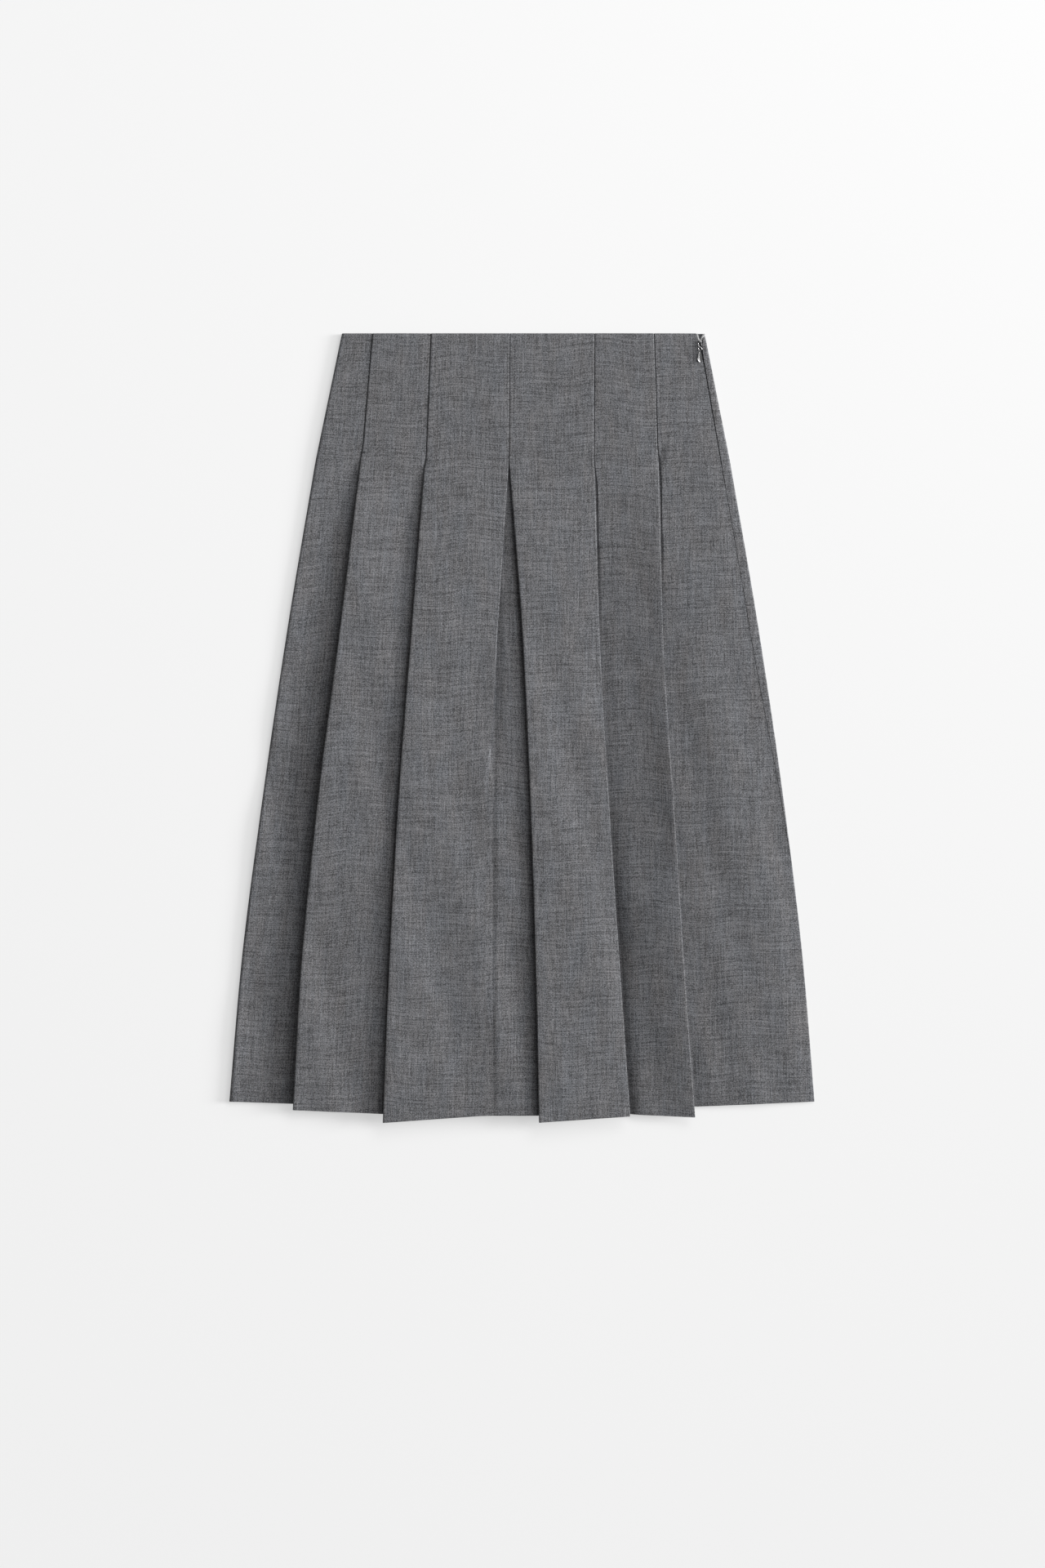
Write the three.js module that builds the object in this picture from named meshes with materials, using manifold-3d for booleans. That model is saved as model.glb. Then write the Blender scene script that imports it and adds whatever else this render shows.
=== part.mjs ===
// A pleated midi skirt laid flat with its front up. Millimetres, +Z up, waist towards +Y.
// The origin is the centre of its outline, on the surface that it lies on.
import * as THREE from 'three';
import { mergeVertices } from 'three/addons/utils/BufferGeometryUtils.js';
import Module from 'manifold-3d';

const wasm = await Module();
wasm.setup();

// Cloth: one wall all through, and the air between two layers that lie on each other
const CLOTH = 1.0;
const AIR = 0.4;
const LAYER = CLOTH + AIR;
const FOLD_R = LAYER / 2;
const SEAM_GAP = 0.5;
const BACK_Z = CLOTH / 2;
const LOW_Z = BACK_Z + LAYER;
const TUCK_Z = LOW_Z + FOLD_R;
const EDGE_Z = TUCK_Z + LAYER;
const HALF_LENGTH = 390.2;

// Levels down the skirt, as shares of each line's own length from waist to hem
const LEVEL = { waist: 0, release: 0.165, thigh: 0.385, knee: 0.615, calf: 0.82, hem: 1 };
const LEVELS = Object.values(LEVEL);

// Where the outlines and the pressed edges of the pleats lie across the skirt
const EDGE_X = {
  left: { waist: -178.0, release: -204.0, thigh: -232.0, knee: -258.0, calf: -277.5, hem: -288.5 },
  outerLeft: { waist: -149.5, release: -159.5, thigh: -180.0, knee: -202.5, calf: -218.0, hem: -226.0 },
  innerLeft: { waist: -91.0, release: -96.0, thigh: -109.5, knee: -123.0, calf: -131.5, hem: -137.0 },
  centreLeft: { waist: -11.9, release: -12.8, thigh: -24.2, knee: -39.0, calf: -41.5, hem: -41.5 },
  centreRight: { waist: -11.5, release: -12.3, thigh: 0.7, knee: 9.0, calf: 14.0, hem: 17.0 },
  innerRight: { waist: 72.5, release: 72.0, thigh: 77.0, knee: 87.0, calf: 97.5, hem: 107.0 },
  outerRight: { waist: 131.5, release: 136.0, thigh: 141.0, knee: 151.5, calf: 162.5, hem: 171.0 },
  right: { waist: 181.0, release: 205.0, thigh: 233.0, knee: 259.0, calf: 277.5, hem: 288.5 },
};

// How far each pleat's hidden fold lies behind its edge. The left centre pleat opens out below the thigh.
const TUCK_DEPTH = {
  outerLeft: { waist: 20, release: 22, thigh: 26, knee: 30, calf: 33, hem: 36 },
  innerLeft: { waist: 22, release: 24, thigh: 28, knee: 32, calf: 34, hem: 36 },
  centreLeft: { waist: 16, release: 16, thigh: 2, knee: -10, calf: -12, hem: -12.5 },
  centreRight: { waist: 20, release: 22, thigh: 26, knee: 30, calf: 32, hem: 34 },
  innerRight: { waist: 20, release: 22, thigh: 26, knee: 28, calf: 30, hem: 32 },
  outerRight: { waist: 20, release: 22, thigh: 25, knee: 27, calf: 29, hem: 31 },
};

// How far each edge stands above its pressed height
const EDGE_LIFT = {
  outerLeft: { waist: 0, release: 0, thigh: 5, knee: 9, calf: 12, hem: 13 },
  innerLeft: { waist: 0, release: 0, thigh: 4.5, knee: 8, calf: 10.5, hem: 12 },
  centreLeft: { waist: 0, release: 0, thigh: 3.5, knee: 2.2, calf: 0.8, hem: -0.4 },
  centreRight: { waist: 0, release: 0, thigh: 4.5, knee: 8, calf: 10, hem: 11.5 },
  innerRight: { waist: 0, release: 0, thigh: 1, knee: 2, calf: 3, hem: 4 },
  outerRight: { waist: 0, release: 0, thigh: 4, knee: 7, calf: 8.5, hem: 9 },
};

// How far each hidden fold floats above the back
const TUCK_RAISE = {
  outerLeft: { waist: 0, release: 0, thigh: 1, knee: 2.5, calf: 3.5, hem: 4 },
  innerLeft: { waist: 0, release: 0, thigh: 0.5, knee: 1, calf: 1.5, hem: 2 },
  centreLeft: { waist: 0, release: 0, thigh: 0, knee: 0, calf: 0, hem: 0.3 },
  centreRight: { waist: 0, release: 0, thigh: 0.3, knee: 0.5, calf: 1, hem: 1.5 },
  innerRight: { waist: 0, release: 0, thigh: 0, knee: 0.5, calf: 1, hem: 1.5 },
  outerRight: { waist: 0, release: 0, thigh: 0.5, knee: 1.5, calf: 3.5, hem: 5 },
};

// Length from waist to hem along the cloth under each edge, at the hidden fold and at the edge
const HEM_DOWN = {
  outerLeft: { under: 761.5, tuck: 763.5, edge: 767.0 },
  innerLeft: { under: 771.5, tuck: 775.0, edge: 780.4 },
  centreLeft: { under: 774.2, tuck: 774.5, edge: 775.0 },
  centreRight: { under: 774.3, tuck: 776.5, edge: 780.2 },
  innerRight: { under: 772.2, tuck: 772.8, edge: 773.6 },
  outerRight: { under: 765.5, tuck: 769.5, edge: 774.0 },
};
const SIDE_HEM = 760.0;
const BACK_HEM_MIDDLE = 763.0;

// The side seams, measured from the outline: above 0 on the front, below 0 on the underside
const SIDE_SEAM = {
  left: { waist: -12, release: -12, thigh: -9, knee: -6, calf: -1, hem: 4 },
  right: { waist: 6.3, release: 9.5, thigh: 9, knee: 2.4, calf: -3, hem: -8 },
};
// Where the cloth turns round each side, to the middle of the wall: wider over the zip
const SIDE_TURN_R = {
  left: { waist: FOLD_R, release: FOLD_R, thigh: FOLD_R, knee: FOLD_R, calf: FOLD_R, hem: FOLD_R },
  right: { waist: 1.7, release: 1.7, thigh: 0.9, knee: FOLD_R, calf: FOLD_R, hem: FOLD_R },
};

// The slit over the zip stands open at the top, in a V
const SLIT = { share: 0.037, frontOpens: 1.4, backOpens: 4.2 };

// Pleats from left to right: the way that each edge looks, and how far the panel that passes below it rises
// to it in the yoke
const PLEATS = [
  { name: 'outerLeft', faces: -1, rise: 1.2 },
  { name: 'innerLeft', faces: -1, rise: 1.2 },
  { name: 'centreLeft', faces: 1, rise: 0 },
  { name: 'centreRight', faces: -1, rise: 0 },
  { name: 'innerRight', faces: 1, rise: 1.2 },
  { name: 'outerRight', faces: 1, rise: 1.2 },
];
// Swell of the panels that lie low, at a share of their width, as it stands at the hem
const SWELL = {
  leftSide: [
    { share: 0.18, hem: 0.6 }, { share: 0.4, hem: 1.2 }, { share: 0.62, hem: 1.3 },
    { share: 0.82, hem: 0.7 },
  ],
  underlay: [{ share: 0.25, hem: 1.5 }, { share: 0.5, hem: 2.4 }, { share: 0.75, hem: 1.5 }],
  rightSide: [
    { share: 0.2, hem: 1.4 }, { share: 0.45, hem: 2.4 }, { share: 0.7, hem: 2.2 },
    { share: 0.9, hem: 0.8 },
  ],
};
// A low panel as it passes below the next edge: reach to both sides of it, and rise at the hem
const PASS = { outside: 4, inside: 1, hem: 1.6, climb: 0.9 };
// Swell of the panels over their own hidden folds
const OVER_TUCK = [
  { share: 0.2, swell: 0.3 }, { share: 0.45, swell: 0.5 }, { share: 0.75, swell: 0.5 }, { share: 1, swell: 0.4 },
];
const LOOSE_POWER = 0.75;
const EASED_FOLD = 3;
const BACK_SHARES = [0.2, 0.4, 0.6, 0.8];

// Zip: an invisible one, set in the right side seam
const ZIP_LENGTH = 180;
const TAPE = { thick: 0.5, bottomZ: 1.3, frontWidth: 11, edgeMargin: 2.4, topDown: 1, tail: 8, apart: 0.4 };
const SLIDER = {
  x: 176.5, pinDown: 14.5, bodyBottomZ: 2.1, bodyThick: 1.0, bodyWidth: 5.2, bodyLength: 9.0,
  neckWidth: 1.1, neckLength: 1.6, crownBottomZ: 5.5, crownThick: 0.7, crownWidth: 4.4, crownLength: 7.6,
  crownBar: 0.7,
};
const PULL = { length: 14.4, width: 5.2, thick: 0.9, eyeR: 1.1, eyeWidth: 2.0, holeR: 0.72, neck: 2.0 };

const STATIONS = [
  0, 0.037, 0.1, 0.153, 0.175, 0.21, 0.26, 0.32, 0.385, 0.46, 0.54, 0.615, 0.665, 0.69, 0.715, 0.745,
  0.82, 0.845, 0.87, 0.895, 0.95, 1,
];
const ARC_STEPS = 4;
const MIN_STEP = 0.3;
const SHARPEST_MITRE = 0.7;

// Value of one table row at share t: straight above the release, then a smooth curve that never overshoots
function along(row, t) {
  const value = Object.values(row);
  if (t <= LEVEL.release) return value[0] + (value[1] - value[0]) * (t / LEVEL.release);
  const x = LEVELS.slice(1);
  const y = value.slice(1);
  const last = x.length - 1;
  const slope = x.slice(1).map((right, i) => (y[i + 1] - y[i]) / (right - x[i]));
  const tangent = y.map((_, i) => {
    if (i === 0) return slope[0];
    if (i === last) return slope[last - 1];
    if (slope[i - 1] * slope[i] <= 0) return 0;
    return (2 * slope[i - 1] * slope[i]) / (slope[i - 1] + slope[i]);
  });
  const i = Math.min(x.findLastIndex((level) => level <= t), last - 1);
  const span = x[i + 1] - x[i];
  const s = (t - x[i]) / span;
  const rise = y[i + 1] - y[i];
  return y[i] + rise * s * s * (3 - 2 * s)
    + span * s * (1 - s) * (tangent[i] * (1 - s) - tangent[i + 1] * s);
}

const mix = (a, b, s) => a + (b - a) * s;
const knot = (x, z, hem) => ({ x, z, hem });

// The places of one pleat at share t. faces is -1 where its edge looks left and 1 where it looks right.
function pleat({ name, faces, rise }, t) {
  const edge = along(EDGE_X[name], t);
  const inset = FOLD_R + CLOTH / 2;
  const tuck = edge - faces * along(TUCK_DEPTH[name], t);
  return {
    faces,
    rise,
    edge,
    hem: HEM_DOWN[name],
    edgeCentre: { x: edge - faces * inset, z: EDGE_Z + along(EDGE_LIFT[name], t) },
    tuckCentre: { x: tuck + faces * inset, z: TUCK_Z + along(TUCK_RAISE[name], t) },
  };
}
const topOf = (p) => ({ x: p.edgeCentre.x, z: p.edgeCentre.z + FOLD_R, hem: p.hem.edge });
const floorOf = (p) => ({ x: p.tuckCentre.x, z: p.tuckCentre.z - FOLD_R, hem: p.hem.tuck });

// The cloth of one pleat from its top, round its edge, back to the hidden fold and round that to its floor.
// It is made facing right and mirrored, and runs left to right. Where it has opened out its folds are eased.
function pleatPoints(p) {
  const flip = p.faces;
  const c1 = { x: flip * p.edgeCentre.x, z: p.edgeCentre.z };
  const c2 = { x: flip * p.tuckCentre.x, z: p.tuckCentre.z };
  const apart = Math.hypot(c2.x - c1.x, c2.z - c1.z);
  const straight = Math.sqrt(apart * apart - 4 * FOLD_R * FOLD_R);
  const turn = Math.atan2(c1.z - c2.z, c2.x - c1.x) + Math.atan2(2 * FOLD_R, straight);
  const ease = EASED_FOLD * THREE.MathUtils.clamp((c2.x - c1.x) / EASED_FOLD, 0, 1);
  const points = [];
  for (let k = 0; k <= ARC_STEPS; k += 1) {
    const s = k / ARC_STEPS;
    const x = c1.x + FOLD_R * Math.sin(turn * s) + ease * s;
    points.push(knot(flip * x, c1.z + FOLD_R * Math.cos(turn * s), p.hem.edge));
  }
  for (let k = ARC_STEPS; k >= 0; k -= 1) {
    const s = k / ARC_STEPS;
    const x = c2.x - FOLD_R * Math.sin(turn * s) - ease * s;
    points.push(knot(flip * x, c2.z - FOLD_R * Math.cos(turn * s), p.hem.tuck));
  }
  return flip > 0 ? points : points.reverse();
}

// A point of the cloth that turns round one side. way is the length along it from the outline: above 0 on top.
// across is the direction straight through the wall there.
function sidePoint(side, t, way) {
  const inward = side === 'left' ? 1 : -1;
  const r = along(SIDE_TURN_R[side], t);
  const quarter = (Math.PI / 2) * r;
  const a = THREE.MathUtils.clamp(way / r, -Math.PI / 2, Math.PI / 2);
  const beyond = Math.max(0, Math.abs(way) - quarter);
  const across = new THREE.Vector2(-inward * Math.cos(a), Math.sin(a));
  const centreX = along(EDGE_X[side], t) + inward * (CLOTH / 2 + r);
  return { ...knot(centreX + r * across.x + inward * beyond, BACK_Z + r + r * across.y, SIDE_HEM), across };
}

// The run round one side, away from a seam at seamWay: up is 1 for the front and -1 for the back
function sideTurn(side, t, up) {
  const quarter = (Math.PI / 2) * along(SIDE_TURN_R[side], t);
  const start = seamWay(side, t, up);
  const ways = [start];
  for (let k = 0; k <= ARC_STEPS; k += 1) {
    const onArc = up * quarter * ((2 * k) / ARC_STEPS - 1);
    const clear = start + up * MIN_STEP * (k + 1);
    ways.push(up > 0 ? Math.max(onArc, clear) : Math.min(onArc, clear));
  }
  return ways.map((way) => sidePoint(side, t, way));
}

// Where the front's and the back's cloth end at a side seam, with the slit that stands open over the zip's top
function seamWay(side, t, up) {
  const way = along(SIDE_SEAM[side], t) + (up * SEAM_GAP) / 2;
  const open = side === 'right' ? Math.max(0, 1 - t / SLIT.share) : 0;
  return way + open * (up > 0 ? SLIT.frontOpens : -SLIT.backOpens);
}

// 1 in the stitched yoke, falling to 0 a little below the release
const stitched = (t) => 1 - THREE.MathUtils.smoothstep(t, LEVEL.release - 0.02, LEVEL.release + 0.06);
// 0 in the yoke, growing to 1 at the hem
const loose = (t) => Math.pow(Math.max(0, (t - LEVEL.release) / (1 - LEVEL.release)), LOOSE_POWER);

// Knots of a panel that lies low, from start to end, raised by its rows of SWELL
function lowPanel(name, start, end, t) {
  return SWELL[name].map((row) => {
    const between = midway(start, end, row.share);
    return { ...between, z: between.z + row.hem * loose(t) };
  });
}

// Where a panel passes below the edge of the next pleat: just outside of it, and just inside
const outside = (p, t) => knot(p.edge + p.faces * PASS.outside,
  LOW_Z + p.rise * stitched(t) + PASS.hem * loose(t), p.hem.under);
const inside = (p) => knot(p.edge - p.faces * PASS.inside, mix(LOW_Z, floorOf(p).z, PASS.climb), p.hem.under);

// Knots of a panel that lies over the hidden fold of its own edge, from that edge: a straight fall towards its
// far end, but never into the fold
function overTuck(p, farEnd, t) {
  const near = topOf(p);
  return OVER_TUCK.map((row) => {
    const x = mix(near.x, floorOf(p).x, row.share);
    const s = (x - near.x) / (farEnd.x - near.x);
    const shelf = mix(near.z, p.tuckCentre.z + FOLD_R + LAYER, row.share);
    return knot(x, Math.max(mix(near.z, farEnd.z, s), shelf) + row.swell * loose(t), mix(near.hem, farEnd.hem, s));
  });
}
function midway(p, q, share) {
  return knot(mix(p.x, q.x, share), mix(p.z, q.z, share), mix(p.hem, q.hem, share));
}

// The front's section at share t, from the left side seam to the right one
function frontSection(t) {
  const [a, b, c, d, e, f] = PLEATS.map((row) => pleat(row, t));
  const left = sideTurn('left', t, 1);
  const right = sideTurn('right', t, 1).reverse();
  const [leftStart, rightEnd] = [left.at(-1), right[0]];

  const overA = overTuck(a, outside(b, t), t);
  const overB = overTuck(b, topOf(c), t);
  const overD = overTuck(d, topOf(e), t);
  const overE = overTuck(e, topOf(d), t).reverse();
  const overF = overTuck(f, outside(e, t), t).reverse();
  return [
    ...left,
    ...lowPanel('leftSide', leftStart, outside(a, t), t), outside(a, t), inside(a),
    ...pleatPoints(a), ...overA, midway(overA.at(-1), outside(b, t), 0.5), outside(b, t), inside(b),
    ...pleatPoints(b), ...overB, midway(overB.at(-1), topOf(c), 0.5),
    ...pleatPoints(c), ...lowPanel('underlay', floorOf(c), outside(d, t), t), outside(d, t), inside(d),
    ...pleatPoints(d), ...overD, ...overE,
    ...pleatPoints(e), inside(e), outside(e, t), midway(outside(e, t), overF[0], 0.5), ...overF,
    ...pleatPoints(f), inside(f), outside(f, t), ...lowPanel('rightSide', outside(f, t), rightEnd, t),
    ...right,
  ];
}

// The back's section at share t: round the left side, flat on the surface, and round the right side
function backSection(t) {
  const left = sideTurn('left', t, -1);
  const right = sideTurn('right', t, -1).reverse();
  const [from, to] = [left.at(-1), right[0]];
  const flat = BACK_SHARES.map((share) => knot(mix(from.x, to.x, share), BACK_Z,
    mix(SIDE_HEM, BACK_HEM_MIDDLE, 4 * share * (1 - share))));
  return [...left, ...flat, ...right];
}

// A closed wall of cloth from sections down the skirt: its two faces and the four strips round them
function clothWall(sectionAt, stations, thick = CLOTH) {
  const rows = stations.map((t) => {
    const path = sectionAt(t);
    return path.map((q, i) => {
      const [before, after] = [path[Math.max(i - 1, 0)], path[Math.min(i + 1, path.length - 1)]];
      const unit = (m, n) => new THREE.Vector2(n.x - m.x, n.z - m.z).normalize();
      const [u, v] = [i > 0 ? unit(before, q) : unit(q, after), i < path.length - 1 ? unit(q, after) : unit(before, q)];
      const normal = new THREE.Vector2(-(u.y + v.y), u.x + v.x).normalize();
      const isEnd = i === 0 || i === path.length - 1;
      const side = q.across ? Math.sign(normal.dot(q.across)) : 1;
      if (isEnd && q.across) normal.copy(q.across).multiplyScalar(side);
      const reach = thick / 2 / Math.max(SHARPEST_MITRE, Math.sqrt((1 + u.dot(v)) / 2));
      const y = HALF_LENGTH - t * q.hem;
      return [1, -1].map((s) => [q.x + s * reach * normal.x, y, q.z + s * reach * normal.y]);
    });
  });
  const across = rows[0].length;
  const positions = rows.flatMap((row) => row.flatMap((pair) => pair.flat()));
  const at = (j, i, face) => (j * across + i) * 2 + face;
  const triangles = [];
  const quad = (p, q, r, s) => triangles.push(p, q, r, p, r, s);
  for (let j = 0; j + 1 < rows.length; j += 1) {
    for (let i = 0; i + 1 < across; i += 1) {
      quad(at(j, i, 0), at(j + 1, i, 0), at(j + 1, i + 1, 0), at(j, i + 1, 0));
      quad(at(j, i, 1), at(j, i + 1, 1), at(j + 1, i + 1, 1), at(j + 1, i, 1));
    }
    quad(at(j, 0, 0), at(j, 0, 1), at(j + 1, 0, 1), at(j + 1, 0, 0));
    quad(at(j, across - 1, 0), at(j + 1, across - 1, 0), at(j + 1, across - 1, 1), at(j, across - 1, 1));
  }
  for (let i = 0; i + 1 < across; i += 1) {
    const end = rows.length - 1;
    quad(at(0, i, 0), at(0, i + 1, 0), at(0, i + 1, 1), at(0, i, 1));
    quad(at(end, i, 0), at(end, i, 1), at(end, i + 1, 1), at(end, i + 1, 0));
  }
  const geometry = new THREE.BufferGeometry();
  geometry.setAttribute('position', new THREE.Float32BufferAttribute(positions, 3));
  geometry.setIndex(triangles);
  return geometry;
}

// One half of the zip's tape: a flat strip on the inside of the back, that meets the other half under the slit
function tapeSection(half, t) {
  const meets = along(EDGE_X.right, t) - along(SIDE_SEAM.right, t);
  const near = meets + (half === 'front' ? -TAPE.apart / 2 : TAPE.apart / 2);
  const far = half === 'front' ? meets - TAPE.frontWidth : along(EDGE_X.right, t) - TAPE.edgeMargin;
  const z = TAPE.bottomZ + TAPE.thick / 2;
  return [near, far].sort((p, q) => p - q).map((x) => knot(x, z, SIDE_HEM));
}

// Solids that are cut or joined
function toSolid(geometry) {
  const plain = geometry.clone();
  plain.deleteAttribute('normal');
  plain.deleteAttribute('uv');
  const merged = mergeVertices(plain, 1e-5);
  return new wasm.Manifold(new wasm.Mesh({
    numProp: 3,
    vertProperties: new Float32Array(merged.attributes.position.array),
    triVerts: new Uint32Array(merged.index.array),
  }));
}
function toGeometry(solid) {
  const mesh = solid.getMesh();
  const geometry = new THREE.BufferGeometry();
  geometry.setAttribute('position', new THREE.Float32BufferAttribute(mesh.vertProperties, 3));
  geometry.setIndex([...mesh.triVerts]);
  return geometry;
}
function roundedRect(width, length, r) {
  const shape = new THREE.Shape();
  const [w, l] = [width / 2, length / 2];
  shape.moveTo(-w + r, -l).lineTo(w - r, -l).absarc(w - r, -l + r, r, -Math.PI / 2, 0, false);
  shape.lineTo(w, l - r).absarc(w - r, l - r, r, 0, Math.PI / 2, false);
  shape.lineTo(-w + r, l).absarc(-w + r, l - r, r, Math.PI / 2, Math.PI, false);
  shape.lineTo(-w, -l + r).absarc(-w + r, -l + r, r, Math.PI, 1.5 * Math.PI, false);
  return shape;
}
const plate = (shape, thick, z) => new THREE.ExtrudeGeometry(shape, {
  depth: thick, bevelEnabled: false, curveSegments: 4,
}).translate(0, 0, z);

// The slider: a body behind the lips, a neck up through the slit, and a crown in front whose bar holds the pull
function sliderSolid() {
  const s = SLIDER;
  const crownCentreY = s.crownLength / 2 - s.crownBar / 2;
  const body = plate(roundedRect(s.bodyWidth, s.bodyLength, 1.6), s.bodyThick, s.bodyBottomZ)
    .translate(0, crownCentreY, 0);
  const neckHeight = s.crownBottomZ + s.crownThick - s.bodyBottomZ;
  const neck = new THREE.BoxGeometry(s.neckWidth, s.neckLength, neckHeight)
    .translate(0, s.crownLength - s.crownBar / 2 - s.neckLength / 2, s.bodyBottomZ + neckHeight / 2);
  const crownOutline = roundedRect(s.crownWidth, s.crownLength, 1.2);
  const eye = roundedRect(s.crownWidth - 2 * s.crownBar, s.crownLength - 2 * s.crownBar, 0.6);
  const crown = toSolid(plate(crownOutline, s.crownThick, s.crownBottomZ))
    .subtract(toSolid(plate(eye, s.crownThick + 2, s.crownBottomZ - 1)))
    .translate([0, crownCentreY, 0]);
  return toGeometry(toSolid(body).add(toSolid(neck)).add(crown));
}

// The pull: a drop-shaped tab whose eye is closed round the crown's bar
function pullSolid() {
  const p = PULL;
  const half = p.width / 2;
  const shape = new THREE.Shape();
  const neck = p.neck / 2;
  shape.moveTo(neck, -p.eyeR);
  shape.bezierCurveTo(neck + 0.2, -4, half, -6, half, -p.length + half + 1);
  shape.absarc(0, -p.length + half, half, 0.35, -Math.PI - 0.35, true);
  shape.bezierCurveTo(-half, -6, -neck - 0.2, -4, -neck, -p.eyeR);
  const tab = plate(shape, p.thick, -p.thick / 2);
  const eye = new THREE.CylinderGeometry(p.eyeR, p.eyeR, p.eyeWidth, 16).rotateZ(Math.PI / 2);
  const link = new THREE.BoxGeometry(p.neck, 2 * p.eyeR, p.thick).translate(0, -p.eyeR, 0);
  const hole = new THREE.CylinderGeometry(p.holeR, p.holeR, p.eyeWidth + 2, 12).rotateZ(Math.PI / 2);
  return toGeometry(toSolid(tab).add(toSolid(link)).add(toSolid(eye)).subtract(toSolid(hole)));
}

const GREY_WOOL = new THREE.MeshStandardMaterial({ color: 0x6f7074, roughness: 0.9, metalness: 0 });
const GREY_TAPE = new THREE.MeshStandardMaterial({ color: 0x5a5b5e, roughness: 0.8, metalness: 0 });
const NICKEL = new THREE.MeshStandardMaterial({ color: 0xb9bbbd, roughness: 0.3, metalness: 1 });

function named(name, geometry, material, x = 0, y = 0, z = 0) {
  const mesh = new THREE.Mesh(geometry, material);
  mesh.name = name;
  mesh.position.set(x, y, z);
  return mesh;
}

const skirt = new THREE.Group();
const tapeStations = [0, 0.25, 0.5, 0.75, 1]
  .map((share) => mix(TAPE.topDown, ZIP_LENGTH + TAPE.tail, share) / SIDE_HEM);
const pinY = HALF_LENGTH - SLIDER.pinDown;
skirt.add(
  named('front_panel', clothWall(frontSection, STATIONS), GREY_WOOL),
  named('back_panel', clothWall(backSection, STATIONS), GREY_WOOL),
  ...['front', 'back'].map((half) => named(`zip_tape_${half}`,
    clothWall((t) => tapeSection(half, t), tapeStations, TAPE.thick), GREY_TAPE)),
  named('zip_slider', sliderSolid(), NICKEL, SLIDER.x, pinY),
  named('zip_pull', pullSolid(), NICKEL, SLIDER.x, pinY, SLIDER.crownBottomZ + SLIDER.crownThick / 2),
);

export default skirt;
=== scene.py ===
import math
import bpy
import numpy as np
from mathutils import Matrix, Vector


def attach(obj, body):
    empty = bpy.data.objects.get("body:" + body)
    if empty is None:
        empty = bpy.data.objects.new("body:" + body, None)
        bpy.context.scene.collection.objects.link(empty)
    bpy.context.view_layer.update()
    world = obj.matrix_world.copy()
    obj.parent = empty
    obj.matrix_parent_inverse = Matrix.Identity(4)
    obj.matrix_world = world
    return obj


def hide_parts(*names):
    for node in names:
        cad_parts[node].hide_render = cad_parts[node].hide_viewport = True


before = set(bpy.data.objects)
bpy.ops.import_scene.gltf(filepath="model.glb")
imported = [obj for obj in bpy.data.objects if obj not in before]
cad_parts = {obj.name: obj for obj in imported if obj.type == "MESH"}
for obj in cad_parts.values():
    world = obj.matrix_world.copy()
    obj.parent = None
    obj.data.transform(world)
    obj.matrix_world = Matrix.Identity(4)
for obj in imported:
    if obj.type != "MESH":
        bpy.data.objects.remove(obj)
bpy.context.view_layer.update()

MM = 0.001
bpy.ops.object.select_all(action="DESELECT")

# ---------------------------------------------------------------- the laid skirt's measures, in millimetres
WALL = 0.9
AIR = 0.4
LAYER = 1.0 + AIR
FOLD_R = LAYER / 2
BACK_Z = 0.5
LOW_Z = BACK_Z + LAYER
TUCK_Z = LOW_Z + FOLD_R
EDGE_Z = TUCK_Z + LAYER
HALF_LENGTH = 390.2
CLOTH_HALF = 0.5

LEVELS = np.array([0, 0.165, 0.385, 0.615, 0.82, 1.0])

# waist, release, thigh, knee, calf, hem
EDGE_X = {
    "left": (-178.0, -204.0, -232.0, -257.6, -277.5, -289.4),
    "outer_left": (-148.9, -159.5, -180.0, -202.5, -218.0, -226.0),
    "inner_left": (-91.0, -96.0, -109.5, -123.0, -131.5, -137.0),
    "centre_left": (-11.72, -12.7, -24.2, -39.0, -41.5, -41.5),
    "centre_right": (-11.63, -12.4, 0.7, 9.0, 14.0, 17.0),
    "inner_right": (72.5, 72.0, 77.0, 87.0, 97.5, 107.0),
    "outer_right": (131.5, 135.5, 139.7, 150.9, 161.0, 171.4),
    "right": (181.2, 206.1, 234.7, 260.2, 278.8, 290.0),
}
TUCK_DEPTH = {
    "outer_left": (20, 22, 26, 30, 33, 36),
    "inner_left": (22, 24, 28, 32, 34, 36),
    "centre_left": (16, 16, 2, -10, -12, -12.5),
    "centre_right": (20, 22, 26, 30, 32, 34),
    "inner_right": (20, 22, 26, 28, 30, 32),
    "outer_right": (20, 22, 25, 27, 29, 31),
}
EDGE_LIFT = {
    "outer_left": (0, 0, 4.7, 7.7, 7.9, 7.9),
    "inner_left": (0, 0, 6.3, 10.8, 12.3, 12.6),
    "centre_left": (0, 0, 5.4, 9.2, 9.9, 9.8),
    "centre_right": (0, 0, 5.9, 11.9, 14.3, 14.4),
    "inner_right": (0, 0, 3.9, 9.0, 10.3, 9.8),
    "outer_right": (0, 0, 4.4, 9.5, 9.0, 6.8),
}
TUCK_RAISE = {
    "outer_left": (0, 0, 0.8, 1.6, 2.2, 2.4),
    "inner_left": (0, 0, 1.0, 2.0, 2.5, 3.0),
    "centre_left": (0, 0, 3.8, 11.4, 12.2, 12.1),
    "centre_right": (0, 0, 1.0, 3.0, 3.0, 3.0),
    "inner_right": (0, 0, 0.8, 2.0, 2.0, 2.0),
    "outer_right": (0, 0, 0.5, 1.2, 2.0, 2.0),
}
# how far the panel below each edge stands up
LIP_LIFT = {
    "outer_left": (0, 0, 0.3, 0.5, 0.6, 0.6),
    "inner_left": (0, 0, 5.5, 9.6, 9.7, 9.0),
    "centre_left": (0,) * 6,
    "centre_right": (0, 0, 4.6, 10.0, 10.4, 10.4),
    "inner_right": (0, 0, 2.0, 4.0, 2.8, 2.0),
    "outer_right": (0, 0, 0.6, 1.2, 1.2, 1.2),
}
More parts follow.
